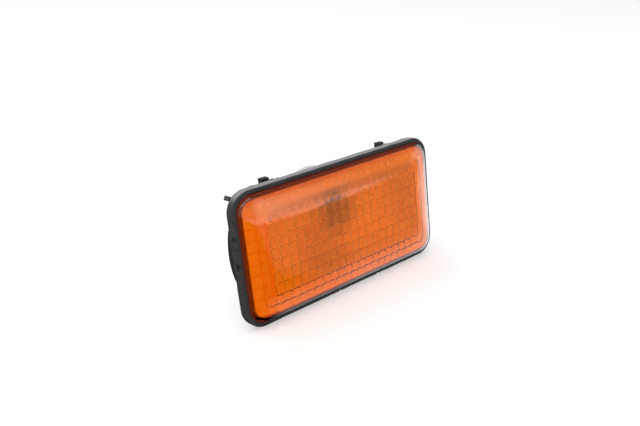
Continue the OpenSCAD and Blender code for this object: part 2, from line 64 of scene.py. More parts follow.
class LensSettings(bpy.types.PropertyGroup):
    flange: bpy.props.FloatVectorProperty(
        name="Flange", description="Width, height and corner radius of the flange, in mm",
        default=(81.8, 41.2, 5.9), min=0, size=3)
    dome: bpy.props.FloatVectorProperty(
        name="Dome", description="Width, height and corner radius of the dome's foot, in mm",
        default=(80.2, 39.6, 5.1), min=0, size=3)
    hollow: bpy.props.FloatVectorProperty(
        name="Hollow", description="Width, height and corner radius of the hollow, in mm",
        default=(77.0, 36.4, 3.5), min=0, size=3)
    field: bpy.props.FloatVectorProperty(
        name="Field", description="Width and height of the level centre, in mm", default=(63.4, 22.2), min=0, size=2)
    drop: bpy.props.FloatProperty(
        name="Drop", description="How far the level centre lies below the middle, in mm", default=0.9, min=0)
    rise: bpy.props.FloatProperty(name="Rise", description="Rise of the dome, in mm", default=4.15, min=0.5)
    squareness: bpy.props.FloatProperty(
        name="Squareness", description="How squarely the dome rises: 2 is an ellipse", default=3.0, min=2)
    end_ease: bpy.props.FloatProperty(
        name="End ease", description="How much further in the face rises at its two ends, in mm", default=1.1, min=0)
    pillow: bpy.props.FloatProperty(
        name="Pillow", description="Rise of the centre's prisms, in mm", default=0.28, min=0)
    groove: bpy.props.FloatProperty(
        name="Groove", description="Depth of the narrow grooves between the centre's prisms, in mm", default=0.1,
        min=0)
    dot: bpy.props.FloatProperty(
        name="Dot", description="Rise of the round dots along the top, in mm", default=0.18, min=0)
    step: bpy.props.FloatProperty(
        name="Step", description="Rise of the steps at the ends and along the bottom, in mm", default=0.5, min=0)
    satin: bpy.props.FloatProperty(
        name="Satin", description="Roughness of the moulded inner face", default=0.5, min=0, max=1)
    tint: bpy.props.FloatVectorProperty(
        name="Tint", description="Colour of the amber plastic", subtype="COLOR",
        default=(0.99, 0.41, 0.04), min=0, max=1, size=3)
    # Painted shade: the risers and the row lines at the ends are a darker, less clear amber, in place of their
    # shading
    step_shade_tint: bpy.props.FloatVectorProperty(
        name="Step tint", description="Colour of the amber plastic at the risers of the steps",
        subtype="COLOR", default=(0.86, 0.29, 0.035), min=0, max=1, size=3)
    # Painted shade: the band of dots along the top is a darker amber, so that its clearer dots stand out as
    # highlights
    band_shade_tint: bpy.props.FloatVectorProperty(
        name="Band tint", description="Colour of the amber plastic in the band of dots along the top",
        subtype="COLOR", default=(0.77, 0.335, 0.035), min=0, max=1, size=3)
    # Painted shade: the hollow's wall and the underside are opaque, unreflecting and a darker amber, in place of the
    # plastic in shade there
    foot_shade_tint: bpy.props.FloatVectorProperty(
        name="Foot tint", description="Colour of the amber plastic at the foot, where it rests on the housing",
        subtype="COLOR", default=(0.72, 0.22, 0.03), min=0, max=1, size=3)
    # Painted shade: the flange is made opaque, unreflecting and dark red, in place of the amber seen edge-on against
    # the dark inside
    edge_shade_tint: bpy.props.FloatVectorProperty(
        name="Edge tint", description="Colour of the amber plastic at the flange, where light runs along it",
        subtype="COLOR", default=(0.13, 0.022, 0.011), min=0, max=1, size=3)


class FinishSettings(bpy.types.PropertyGroup):
    rubber: bpy.props.FloatVectorProperty(
        name="Rubber", description="Colour of the gasket", subtype="COLOR",
        default=(0.037, 0.036, 0.037), min=0, max=1, size=3)
    housing: bpy.props.FloatVectorProperty(
        name="Housing", description="Colour of the housing", subtype="COLOR",
        default=(0.022, 0.023, 0.025), min=0, max=1, size=3)
    holder: bpy.props.FloatVectorProperty(
        name="Holder", description="Colour of the bulb holder", subtype="COLOR",
        default=(0.50, 0.52, 0.46), min=0, max=1, size=3)
    tray: bpy.props.FloatVectorProperty(
        name="Tray", description="Colour of the reflector's bright face", subtype="COLOR",
        default=(0.95, 0.95, 0.94), min=0, max=1, size=3)
    # Painted shade: the tray turns to this colour in a patch below and left of the bulb hole and towards the dish's
    # floor
    shaded: bpy.props.FloatVectorProperty(
        name="Browned tray", description="Colour of the bright face where the bulb has browned it", subtype="COLOR",
        default=(0.50, 0.44, 0.38), min=0, max=1, size=3)
    holder_dust: bpy.props.FloatVectorProperty(
        name="Holder dust", description="Colour of the scuffs on the bulb holder", subtype="COLOR",
        default=(0.38, 0.37, 0.33), min=0, max=1, size=3)
    brass: bpy.props.FloatVectorProperty(
        name="Brass", description="Colour of the contacts", subtype="COLOR",
        default=(0.80, 0.62, 0.30), min=0, max=1, size=3)
    lead: bpy.props.FloatVectorProperty(
        name="Lead wire", description="Colour of the bulb's lead wires", subtype="COLOR",
        default=(0.62, 0.60, 0.58), min=0, max=1, size=3)
    filament: bpy.props.FloatVectorProperty(
        name="Filament", description="Colour of the filament's wire", subtype="COLOR",
        default=(0.33, 0.33, 0.35), min=0, max=1, size=3)


class StageSettings(bpy.types.PropertyGroup):
    floor: bpy.props.FloatVectorProperty(
        name="Floor", description="Colour of the table", subtype="COLOR",
        default=(0.93, 0.93, 0.94), min=0, max=1, size=3)
    floor_size: bpy.props.FloatProperty(
        name="Floor size", description="Width of the table", subtype="DISTANCE", unit="LENGTH", default=8.0, min=1)
    focal: bpy.props.FloatProperty(name="Focal length", description="Camera lens, in mm", default=40.05, min=10)
    # Painted light: the warm light that the lens throws onto the table, painted into the table's colour in front of
    # the lamp
    glow: bpy.props.FloatVectorProperty(
        name="Warm glow", description="Colour of the table in front of the lamp", subtype="COLOR",
        default=(0.93, 0.74, 0.69), min=0, max=1, size=3)
    room: bpy.props.FloatProperty(name="Room", description="Strength of the room's soft light", default=0.75, min=0)
    window: bpy.props.FloatProperty(
        name="Window", description="How much brighter than white the window in front reflects", default=1.6, min=0)
    near_shade: bpy.props.FloatProperty(
        name="Near shade", description="How bright the table in front of the lamp reflects in it", default=0.42,
        min=0)
    rear_shade: bpy.props.FloatProperty(
        name="Rear shade", description="How bright the room behind the lamp reflects in it", default=0.2, min=0)
    foot_light: bpy.props.FloatProperty(
        name="Foot light", description="How bright the table at the lamp's foot reflects in it", default=0.9, min=0)
    inside_light: bpy.props.FloatProperty(
        name="Inside light", description="Strength of the room's light inside the lamp", default=1.75, min=0)
    front_shade: bpy.props.FloatProperty(
        name="Front shade", description="How bright the room in front of the lamp reflects in it", default=0.6, min=0)
    side_shine: bpy.props.FloatProperty(
        name="Side shine", description="How bright the table to the right reflects in the lamp", default=2.5, min=0)
    key_power: bpy.props.FloatProperty(
        name="Key light", description="Power of the large overhead light", unit="POWER", default=9.0, min=0)


# ---------------------------------------------------------------- shader wiring

class Wiring:
    """Adds nodes to a shader tree and joins them. A value is a constant or another node's output."""

    def __init__(self, tree):
        self.nodes, self.links = tree.nodes, tree.links

    def feed(self, socket, value):
        """Joins a socket to another node's output, or sets its own value."""
        if isinstance(value, bpy.types.NodeSocket):
            self.links.new(value, socket)
        elif socket.type == "RGBA":
            socket.default_value = (*value, 1)
        else:
            socket.default_value = value

    def fill(self, node, values):
        """Feeds a node's inputs, each given by its label or number."""
        for label, value in values.items():
            self.feed(node.inputs[label], value)
        return node

    def add(self, kind, values=None, **fields):
        """A new node with its fields set and its inputs fed."""
        node = self.nodes.new("ShaderNode" + kind)
        for field, value in fields.items():
            setattr(node, field, value)
        return self.fill(node, values or {})

    def group(self, tree, **values):
        """Outputs of a node group, placed with its own values."""
        return self.add("Group", values, node_tree=tree).outputs

    def where(self, kind="Object"):
        """Place on the surface, in metres, or the way that a ray goes in the world's tree."""
        return self.add("TexCoord").outputs[kind]

    def parts(self, vector):
        """X, Y and Z of a vector."""
        return self.add("SeparateXYZ", {0: vector}).outputs

    def math(self, operation, *values, clamp=False):
        return self.add("Math", dict(enumerate(values)), operation=operation, use_clamp=clamp).outputs[0]

    def times(self, first, *others):
        for other in others:
            first = self.math("MULTIPLY", first, other)
        return first

    def plus(self, first, *others):
        for other in others:
            first = self.math("ADD", first, other)
        return first

    def ramp(self, value, start, end, low=0.0, high=1.0, course="SMOOTHSTEP"):
        """Goes from low to high while the value goes from start to end, and is level outside them."""
        span = {"Value": value, "From Min": start, "From Max": end, "To Min": low, "To Max": high}
        return self.add("MapRange", span, interpolation_type=course).outputs["Result"]

    def between(self, mask, low, high):
        """A number that goes from low to high with a mask."""
        return self.ramp(mask, 0, 1, low, high, "LINEAR")

    def blend(self, mask, low, high):
        """A colour that goes from low to high with a mask."""
        return self.add("Mix", {"Factor": mask, "A": low, "B": high}, data_type="RGBA").outputs["Result"]


# ---------------------------------------------------------------- shader groups

# How fine the patterns are: waves per metre
TOOTH_SCALE = 4200
TONE_SCALE = 260
PATCH_SCALE = 420
# Noise values between which a scuffed patch begins and is full
PATCH_EDGE = (0.55, 0.75)


def new_group(name, inputs, outputs):
    """A node group of numbers: its inputs as label and default, and the labels of its outputs."""
    tree = bpy.data.node_groups.new(name, "ShaderNodeTree")
    for label, value in inputs.items():
        socket = tree.interface.new_socket(name=label, in_out="INPUT", socket_type="NodeSocketFloat")
        socket.default_value = value
    for label in outputs:
        tree.interface.new_socket(name=label, in_out="OUTPUT", socket_type="NodeSocketFloat")
    return tree, Wiring(tree), tree.nodes.new("NodeGroupInput").outputs, tree.nodes.new("NodeGroupOutput")


def moulded_grain():
    """Fine tooth of moulded plastic or rubber, with a slower unevenness under it."""
    tree, wiring, given, out = new_group("moulded_grain", {"Scale": 1.0}, ("Height", "Tone"))
    where = wiring.where()
    for label, scale, detail in (("Height", TOOTH_SCALE, 4), ("Tone", TONE_SCALE, 2)):
        size = wiring.times(given["Scale"], scale)
        pattern = wiring.add("TexNoise", {"Vector": where, "Scale": size, "Detail": detail})
        wiring.feed(out.inputs[label], pattern.outputs["Fac"])
    return tree


def handling_wear():
    """Patchy scuffs: a mask with soft islands."""
    tree, wiring, given, out = new_group("handling_wear", {"Scale": 1.0, "Amount": 0.5}, ("Mask",))
    size = wiring.times(given["Scale"], PATCH_SCALE)
    patches = wiring.add("TexNoise", {"Vector": wiring.where(), "Scale": size, "Detail": 6, "Roughness": 0.65})
    islands = wiring.ramp(patches.outputs["Fac"], *PATCH_EDGE, course="LINEAR")
    wiring.feed(out.inputs["Mask"], wiring.times(islands, given["Amount"]))
    return tree


def shader_groups():
    groups = bpy.data.node_groups
    return {
        "grain": groups.get("moulded_grain") or moulded_grain(),
        "wear": groups.get("handling_wear") or handling_wear(),
    }


# ---------------------------------------------------------------- materials

# Darkest and lightest tone of moulded plastic as shares of its colour, and how much rougher its scuffs are
TONES = (0.82, 1.25)
SCUFF_ROUGHER = 0.25
# Darkest tone of metal as a share of its colour, and its least and greatest share of its roughness
METAL_DARKEST = 0.85
METAL_ROUGHNESS = (0.8, 1.25)
# Depth of the moulded tooth, in metres, and how strongly it shows
TOOTH_DEPTH = 0.00002
TOOTH_STRENGTH = 0.6
# Painted sheen, in place of the light that faces looking up near the top reflect: its colour, how far a face must
# look up to take it, and the heights between which it begins
PAINTED_SHEEN = (0.34, 0.34, 0.35)
PAINTED_SHEEN_SLOPE = (0.45, 0.95)
PAINTED_SHEEN_FROM = (0.016, 0.020)
AMBER_IOR = 1.49
GLASS_IOR = 1.5
# Painted shade on the tray: the middle of a darker patch, how far from there it ends and is full, in metres, and how
# dark it gets
PATCH_SHADE_PLACE = (-0.005, 0.006, -0.0065)
PATCH_SHADE_REACH = (0.013, 0.006)
PATCH_SHADE_MOST = 0.45
# Painted shade: depths between which the tray grows darker towards the dish's floor, in metres, and how dark it gets
DEPTH_SHADE_RANGE = (-0.001, 0.008)
DEPTH_SHADE_MOST = 0.2


def new_material(name):
    """A material, its wiring and its shader."""
    material = bpy.data.materials.new(name)
    material.use_nodes = True
    wiring = Wiring(material.node_tree)
    return material, wiring, wiring.nodes["Principled BSDF"]


def moulded_material(name, color, roughness, groups, scuff, dust=None, top_sheen=0.0, gloss=0.5):
    """Moulded rubber or plastic: grain, uneven tone, dusty scuffs, and a painted sheen that lightens faces looking up
    at the top edge.
    """
    material, wiring, shader = new_material(name)
    grain = wiring.group(groups["grain"], Scale=1.0)
    wear = wiring.group(groups["wear"], Scale=1.0, Amount=scuff)
    darkest, lightest = ([min(1, c * share) for c in color] for share in TONES)
    tone = wiring.blend(grain["Tone"], darkest, lightest)
    scuffed = wiring.blend(wear["Mask"], tone, dust or [c * 0.5 + 0.07 for c in color])
    facing = wiring.parts(wiring.add("NewGeometry").outputs["Normal"])
    # Painted sheen: faces that look up near the top are lighter, in place of the light they reflect
    sheen_facing = wiring.ramp(facing["Z"], *PAINTED_SHEEN_SLOPE, high=top_sheen)
    top = wiring.ramp(wiring.parts(wiring.where())["Z"], *PAINTED_SHEEN_FROM, course="LINEAR")
    tooth = wiring.add("Bump", {"Distance": TOOTH_DEPTH, "Strength": TOOTH_STRENGTH, "Height": grain["Height"]})
    wiring.fill(shader, {
        "Base Color": wiring.blend(wiring.times(sheen_facing, top), scuffed, PAINTED_SHEEN),
        "Roughness": wiring.between(wear["Mask"], roughness, min(1, roughness + SCUFF_ROUGHER)),
        "Specular IOR Level": gloss,
        "Normal": tooth.outputs["Normal"],
    })
    return material


def amber_material(groups, name, tint, low, high, clear=1.0, gloss=1.0):
    """Amber plastic with faint handling marks, between two roughnesses. What isn't clear scatters light."""
    material, wiring, shader = new_material(name)
    wear = wiring.group(groups["wear"], Scale=0.5, Amount=0.3)
    wiring.fill(shader, {
        "Base Color": tint,
        "Roughness": wiring.between(wear["Mask"], low, high),
        "Transmission Weight": clear,
        "Specular IOR Level": 0.5 * gloss,
        "Specular Tint": (gloss, gloss, gloss),
        "IOR": AMBER_IOR,
    })
    return material


def metal_material(name, color, roughness, groups):
    """Drawn or stamped metal, a little uneven in colour and shine."""
    material, wiring, shader = new_material(name)
    grain = wiring.group(groups["grain"], Scale=1.0)
    wiring.fill(shader, {
        "Base Color": wiring.blend(grain["Tone"], [c * METAL_DARKEST for c in color], color),
        "Roughness": wiring.between(grain["Tone"], *(roughness * share for share in METAL_ROUGHNESS)),
        "Metallic": 1,
    })
    return material


def tray_material(finish, groups):
    """Bright metallised face, with painted shade: darker towards its floor and in a patch below and left of the bulb
    hole.
    """
    material, wiring, shader = new_material("bright_tray_metal")
    grain = wiring.group(groups["grain"], Scale=0.5)
    where = wiring.where()
    # Painted shade: darker towards the dish's floor, and in a patch below and left of the bulb hole
    depth_shade = wiring.ramp(wiring.parts(where)["Y"], *DEPTH_SHADE_RANGE, high=DEPTH_SHADE_MOST)
    apart = wiring.add("VectorMath", {0: where, 1: PATCH_SHADE_PLACE}, operation="DISTANCE").outputs["Value"]
    patch_shade = wiring.ramp(apart, *PATCH_SHADE_REACH, high=PATCH_SHADE_MOST)
    wiring.fill(shader, {
        "Base Color": wiring.blend(wiring.math("ADD", depth_shade, patch_shade, clamp=True), finish.tray, finish.shaded),
        "Roughness": wiring.between(grain["Tone"], 0.55, 0.7),
        "Metallic": 0.5,
    })
    return material


def glass_material():
    """Bulb glass, a little hazy where it is old."""
    material, wiring, shader = new_material("bulb_glass_clear")
    haze = wiring.add("TexNoise", {"Vector": wiring.where(), "Scale": 300})
    wiring.fill(shader, {
        "Base Color": (0.98, 0.99, 0.99),
        "Roughness": wiring.between(haze.outputs["Fac"], 0.0, 0.08),
        "Transmission Weight": 0.78,
        "IOR": GLASS_IOR,
    })
    return material


# ---------------------------------------------------------------- mesh tools

LONG_STEPS = 400
SHORT_STEPS = 96


def outline(width, height, radius, long_steps=LONG_STEPS, short_steps=SHORT_STEPS):
    """Points round a rounded rectangle, side by side from the upper left corner, clockwise seen from the front.
    Each side runs from the middle of one corner arc to the middle of the next."""
    points = []
    for side in range(4):
        flat = (width if side % 2 == 0 else height) / 2 - radius
        reach = (height if side % 2 == 0 else width) / 2
        half = flat + radius * math.pi / 4
        steps = long_steps if side % 2 == 0 else short_steps
        for k in range(steps):
            s = (2 * k / steps - 1) * half
            along, out = s, reach
            if abs(s) > flat and radius > 0:
                turn = (abs(s) - flat) / radius
                along = math.copysign(flat + radius * math.sin(turn), s)
                out = reach - radius + radius * math.cos(turn)
            points.append([(along, out), (out, -along), (-along, -out), (-out, along)][side])
    return points


def widened(size, by):
    """Outline of a width, height and corner radius, moved outward by a distance."""
    width, height, radius = size
    return outline(width + 2 * by, height + 2 * by, radius + by)


def at(x, z, out):
    """A point of the drawing, in mm, in the frame: x to the right, z up and out towards the viewer."""
    return Vector((x * MM, -out * MM, z * MM))


def strip(ring, following):
    """Quads between two closed rings of point numbers."""
    return list(zip(ring, ring[1:] + ring[:1], following[1:] + following[:1], following))


def loop_faces(count, total):
    """Quads of a closed loop of rings of so many points each, out of a total, the last joined to the first."""
    rings = [list(range(start, start + count)) for start in range(0, total, count)]
    return [face for ring, following in zip(rings, rings[1:] + rings[:1]) for face in strip(ring, following)]


def mesh_object(name, verts, faces, materials, sharp=None):
    """A smooth piece with its materials, and sharp edges from an angle on, in degrees."""
    mesh = bpy.data.meshes.new(name)
    mesh.from_pydata([tuple(v) for v in verts], [], faces)
    bm = bmesh.new()
    bm.from_mesh(mesh)
    bmesh.ops.recalc_face_normals(bm, faces=bm.faces)
    bm.to_mesh(mesh)
    bm.free()
    mesh.shade_smooth()
    if sharp:
        mesh.set_sharp_from_angle(angle=math.radians(sharp))
    for material in materials:
        mesh.materials.append(material)
    obj = bpy.data.objects.new(name, mesh)
    bpy.context.scene.collection.objects.link(obj)
    return obj


def dress(node, material):
    """Gives a CAD node its material."""
    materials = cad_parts[node].data.materials
    materials.clear()
    materials.append(material)


def mount_piece(obj, node):
    """Puts a piece in a CAD node's place."""
    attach(obj, "root")
    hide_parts(node)


# ---------------------------------------------------------------- lens

# Heights of the lens over the panel, in mm: its foot, the flange's top, and the inner face's middle and outer end
LENS_FOOT = 1.8
FLANGE_TOP = 2.8
ROOF = 5.0
EAVE = 3.2
# Rounding of the flange's rim as inset and depth, and of the dome's foot as distance out and rise, in mm
RIM_ROUND = (0.08, 0.12)
FOOT_ROUND = ((0.2, 0.0), (0.05, 0.1))
# Rings of the dome, how they crowd towards its foot, and half the height that the last of them leaves, in mm
DOME_RINGS = 26
DOME_CROWDING = 1.9
CROWN_HALF = 0.3
# Distance over which the eased ends come in, in mm
EASE_RUN = 1.5
# Inset at which the dome's corners are roundest, in mm, and their radius there as a share of the half height
SOFT_FROM = 11.0
ROUNDEST = 0.75
# Prisms of the centre, and rows and rings of the border
COLUMNS = 20
ROWS = 6
BORDER_ROWS = 2
BORDER_RINGS = 18
# Keeps the border's last ring in its last row
ROW_END = 0.9999
# How sharply the centre's grooves drop off, and the squared radius of a dot in half cells
GROOVE_POWER = 16
DOT_REACH = 0.5
# How deep the bottom's steps are scalloped and how far they slant, and how far the end's steps are rounded off
SCALLOP = 0.8
SLANT = 0.45
END_ROUND = 0.3
END_POWER = 8

# Plastics of the lens, as the numbers of its material slots. RISER, EDGE, BAND and FOOT are darker with painted shade
POLISHED, SATIN, RISER, EDGE, CLEARER, BAND, FOOT = range(7)
TOP, RIGHT, BOTTOM, LEFT = range(4)
# The outline's number at which each of the four sides begins
SIDE_STARTS = (0, LONG_STEPS, LONG_STEPS + SHORT_STEPS, 2 * LONG_STEPS + SHORT_STEPS)
# Rings of the skin that belong to its edge, which is painted shade, for the top, right, bottom and left side
EDGE_RINGS = (6, 7, 7, 5)
# Rings of the border that are the risers of its steps, darker with painted shade, for the same sides
RISER_RINGS = ((17, 18), (), (1, 10), (1, 2, 3, 4, 10))
# Rings of the top's border from which its band of dots runs on, darker with painted shade round the dots, and those
# where its dots are highest
BAND_FROM = 4
DOT_RINGS = (4, 5, 6, 13, 14, 15)
# Share of a half cell that shows a dot, and from which on the ends show the line between two rows, drawn in the
# risers' painted shade
DOT_SHARE = 0.35
LINE_SHARE = 0.9


def side_of(k):
    """Which side of the lens's outline point k is on."""
    return max(side for side, start in enumerate(SIDE_STARTS) if k >= start)


def across(t):
    """Place across its own cell, -1 to 1, of a distance counted in cells."""
    return 2 * (t - math.floor(t)) - 1


def pillow(u, v, cell_w, cell_h):
    """Share of the rise of one of the centre's prisms: part of a ball, and lowest at the cell's corners."""
    return 1 - ((cell_w * across(u)) ** 2 + (cell_h * across(v)) ** 2) / (cell_w ** 2 + cell_h ** 2)


def border_rise(side, u, v, settings):
    """Rise of the border's prisms. u counts the cells along the border, and v its rows outward."""
    step = 1 - (v - math.floor(v))
    if side == TOP:
        return settings.dot * max(0.0, 1 - (across(u) ** 2 + across(v) ** 2) / DOT_REACH)
    if side == BOTTOM:
        return settings.step * step * (1 - SCALLOP * across(u + SLANT * step) ** 2)
    return settings.step * step * (1 - END_ROUND * across(u) ** END_POWER)


def border_kind(n, side, u):
    """Which plastic a face of the border's ring n shows: risers and row lines at the ends in painted shade, and dots
    in the top's band with painted shade round them.
    """
    if n in RISER_RINGS[side]:
        return RISER
    if side in (LEFT, RIGHT):
        return RISER if abs(across(u)) > LINE_SHARE else SATIN
    if side == TOP and n >= BAND_FROM:
        return CLEARER if n in DOT_RINGS and abs(across(u)) < DOT_SHARE else BAND
    return CLEARER


def dome_height(inset, settings):
    """Height of the face at a distance from the dome's foot: steep at the edge, nearly level in the middle."""
    rest = max(0.0, 1 - 2 * inset / settings.dome[1])
    power = settings.squareness
    return FLANGE_TOP + settings.rise * (1 - rest ** power) ** (1 / power)


def dome_corner(inset, settings):
    """Corner radius of the face's level line at that distance: rounder towards the middle."""
    foot = 2 * settings.dome[2] / settings.dome[1]
    return (settings.dome[1] / 2 - inset) * (foot + (ROUNDEST - foot) * min(1.0, inset / SOFT_FROM))


def lens_skin_rings(settings):
    """Outer skin, from the flange's foot to the middle of the face, as (outline, height)."""
    rim_inset, rim_depth = RIM_ROUND
    rings = [
        (widened(settings.flange, 0), LENS_FOOT),
        (widened(settings.flange, 0), FLANGE_TOP - rim_depth),
        (widened(settings.flange, -rim_inset), FLANGE_TOP),
    ]
    rings += [(widened(settings.dome, out), FLANGE_TOP + rise) for out, rise in FOOT_ROUND]
    width, height, _ = settings.dome
    for k in range(1, DOME_RINGS + 1):
        inset = (height / 2 - CROWN_HALF) * (k / DOME_RINGS) ** DOME_CROWDING
        end_inset = inset + settings.end_ease * (1 - math.exp(-inset / EASE_RUN))
        rings.append((outline(width - 2 * end_inset, height - 2 * inset, dome_corner(inset, settings)),
                      dome_height(inset, settings)))
    return rings


def crown_faces(ring):
    """Faces that close the dome's last ring: quads from its top side to its bottom side, and a face at each end."""
    _, right, bottom, left = SIDE_STARTS
    quads = [(ring[k], ring[k + 1], ring[left - k - 1], ring[left - k]) for k in range(LONG_STEPS)]
    return [*quads, ring[right:bottom + 1], ring[left:] + ring[:1]]


class LensMesh:
    """Points and faces of the lens, and which plastic each face shows."""

    def __init__(self, settings):
        self.settings = settings
        self.verts, self.faces, self.kinds = [], [], []
        self.width, self.height = settings.field
        self.cell_w, self.cell_h = self.width / COLUMNS, self.height / ROWS
        self.low_z = -settings.drop - self.height / 2
        skin_foot = self.add_skin()
        hollow = self.add_borders(self.add_centre())
        hollow_foot = self.ring(at(x, z, LENS_FOOT) for x, z in outline(*settings.hollow))
        # The hollow's wall and the underside carry the foot's painted shade
        self.join(strip(hollow, hollow_foot) + strip(hollow_foot, skin_foot), FOOT)

    def ring(self, points):
        """Adds a row of points, and gives their numbers."""
        start = len(self.verts)
        self.verts.extend(points)
        return list(range(start, len(self.verts)))

    def join(self, faces, kinds):
        """Adds faces with a list of their kinds, or with one kind for them all."""
        self.faces.extend(faces)
        self.kinds.extend([kinds] * len(faces) if isinstance(kinds, int) else kinds)

    def cells(self, x, z):
        """Place of a point, counted in the centre's cells from its lower left corner."""
        return (x + self.width / 2) / self.cell_w, (z - self.low_z) / self.cell_h

    def add_skin(self):
        """Adds the flange and the dome, and gives the ring at the flange's foot."""
        rings = [self.ring(at(x, z, height) for x, z in points) for points, height in lens_skin_rings(self.settings)]
        for n, (ring, following) in enumerate(zip(rings, rings[1:])):
            self.join(strip(ring, following),
                      [EDGE if n < EDGE_RINGS[side_of(k)] else POLISHED for k in range(len(ring))])
        self.join(crown_faces(rings[-1]), POLISHED)
        return rings[0]

    def add_centre(self):
        """Adds the centre of the inner face with its prisms, and gives the ring round it."""
        settings = self.settings
        rows = []
        for i in range(SHORT_STEPS + 1):
            z = self.low_z + self.height * (1 - i / SHORT_STEPS)
            points = []
            for j in range(LONG_STEPS + 1):
                x = -self.width / 2 + self.width * j / LONG_STEPS
                u, v = self.cells(x, z)
                rise = settings.pillow * pillow(u, v, self.cell_w, self.cell_h)
                rise -= settings.groove * max(across(u) ** GROOVE_POWER, across(v) ** GROOVE_POWER)
                if i in (0, SHORT_STEPS) or j in (0, LONG_STEPS):
                    rise = 0
                points.append(at(x, z, ROOF - rise))
            rows.append(self.ring(points))
        for above, below in zip(rows, rows[1:]):
            self.join(list(zip(above, above[1:], below[1:], below)), SATIN)
        right, left = [row[-1] for row in rows[:-1]], [row[0] for row in rows[:0:-1]]
        return rows[0][:-1] + right + rows[-1][:0:-1] + left

    def add_borders(self, ring):
        """Adds the sloping borders round a ring, whose prisms run on from the centre's, and gives their last ring."""
        settings = self.settings
        wide, tall, radius = settings.hollow
        for n in range(1, BORDER_RINGS + 1):
            f = n / BORDER_RINGS
            points, kinds = [], []
            level = outline(self.width + (wide - self.width) * f, self.height + (tall - self.height) * f, radius * f)
            for k, (x, z) in enumerate(level):
                side = side_of(k)
                z -= settings.drop * (1 - f)
                u = self.cells(x, z)[side % 2]
                rise = border_rise(side, u, f * BORDER_ROWS * ROW_END, settings)
                points.append(at(x, z, ROOF + (EAVE - ROOF) * f - rise))
                kinds.append(border_kind(n, side, u))
            following = self.ring(points)
            self.join(strip(ring, following), kinds)
            ring = following
        return ring


# ---------------------------------------------------------------- reflector

TRAY_STEPS = (48, 24)
# Bulb hole as x, z and radius, and how far to the right of the middle the tray's dish lies, in mm
BULB_HOLE = (5.0, 2.7, 6.5)
DISH_SHIFT = 2.0
# Width, height and corner radius of the dish's floor and of the tray's flange, in mm
DISH_FLOOR = (52, 17, 4)
TRAY_FLANGE = (76.6, 36.0, 3.3)
# From its floor to its rim the dish grows by this much, its corners lose this much, and it flares by this power
DISH_SPREAD = 10.8
DISH_CORNER_LOSS = 1.6
DISH_FLARE = 1.6
DISH_RINGS = 10
# The dish's inner and outer face: how far out from the inner one, and the heights of its floor and its rim, in mm
DISH_INNER = (0, -7.4, 2.6)
DISH_OUTER = (0.8, -8.2, 1.8)


def dish_rings(face):
    """Rings of one face of the dish as (x, z, height): the bulb hole, then the wall from the floor to the rim."""
    grow, low, high = face
    hole_x, hole_z, hole_r = BULB_HOLE
    width, height, radius = DISH_FLOOR
    wall = []
    for k in range(DISH_RINGS + 1):
        t = k / DISH_RINGS
        level = outline(width + DISH_SPREAD * t + 2 * grow, height + DISH_SPREAD * t + 2 * grow,
                        radius - DISH_CORNER_LOSS * t, *TRAY_STEPS)
        wall.append([(x + DISH_SHIFT, z, low + (high - low) * t ** DISH_FLARE) for x, z in level])
    hole = []
    for x, z, _ in wall[0]:
        away = Vector((x - hole_x, z - hole_z)).normalized() * hole_r
        hole.append((hole_x + away.x, hole_z + away.y, low))
    return [hole, *wall]


def build_tray_mesh():
    """Dish with a hole for the bulb, and a flange round it."""
    flange = outline(*TRAY_FLANGE, *TRAY_STEPS)
    flange_faces = [[(x, z, face[2]) for x, z in flange] for face in (DISH_INNER, DISH_OUTER)]
    rings = dish_rings(DISH_INNER) + flange_faces + dish_rings(DISH_OUTER)[::-1]
    verts = [at(*point) for ring in rings for point in ring]
    return verts, loop_faces(len(flange), len(verts))


# ---------------------------------------------------------------- gasket

GASKET_STEPS = (420, 220)
# The gasket's outline, and the one 1 mm further in, as width, height and corner radius, in mm
GASKET_OUTLINE = (84.0, 43.4, 7.0)
GASKET_INWARD = (82.0, 41.4, 6.0)
# Worn places on the gasket's front lip: x, z, width and depth in mm
NICKS = ((-42, 13.7, 0.6, 0.6), (-42, 8.2, 0.8, 1.0), (-42, 5.0, 0.4, 0.4), (-42, -0.6, 1.1, 1.4),
         (-42, -9.5, 0.5, 0.5), (13.6, -21.7, 0.4, 0.5), (-4, -21.7, 0.5, 0.6))
# Lumps of flash on the rear edge of the top side: x, width and height in mm
LUMPS = ((-32.4, 1.2, 0.3), (-22.6, 0.8, 0.25), (24.7, 1.6, 0.3), (32.7, 1.2, 0.3))
# Noise of the gasket's waves, ripples and tears: its turns per mm along the rim and out from it, and its start
WAVES = (0.22, 0.4, 0.0)
RIPPLES = (1.1, 1.0, 7.0)
TEARS = (2.3, 1.7, 0.0)
# Inset and height at which the wall's waves end and its worn tip begins, in mm
WALL_INSET = 1.6
TIP_FROM = 1.5
TIP_INSET = 1.0
# How far the wall is pushed in and its tip worn down, in mm: everywhere, by the waves and by the ripples
WALL_PUSH = (0.12, 0.10, 0.035)
TIP_WEAR = (0.02, 0.05, 0.03)
# Share of a nick's depth that is bitten off, and how unevenly, and how far it then tears in
BITE = (0.85, 1.6)
TORN_IN = 0.5
# The wall is straighter to the right of here, over what run it turns so, in mm, and how much straighter it gets
STRAIGHT_FROM = 38
STRAIGHT_RUN = 3
STRAIGHT_MOST = 0.8
# A nick reaches this many times its width
NICK_REACH = 2.5
# The rear edge of the top side lies above this z, and within this inset and height, in mm
LUMPS_ABOVE = 21
REAR_EDGE = 0.6


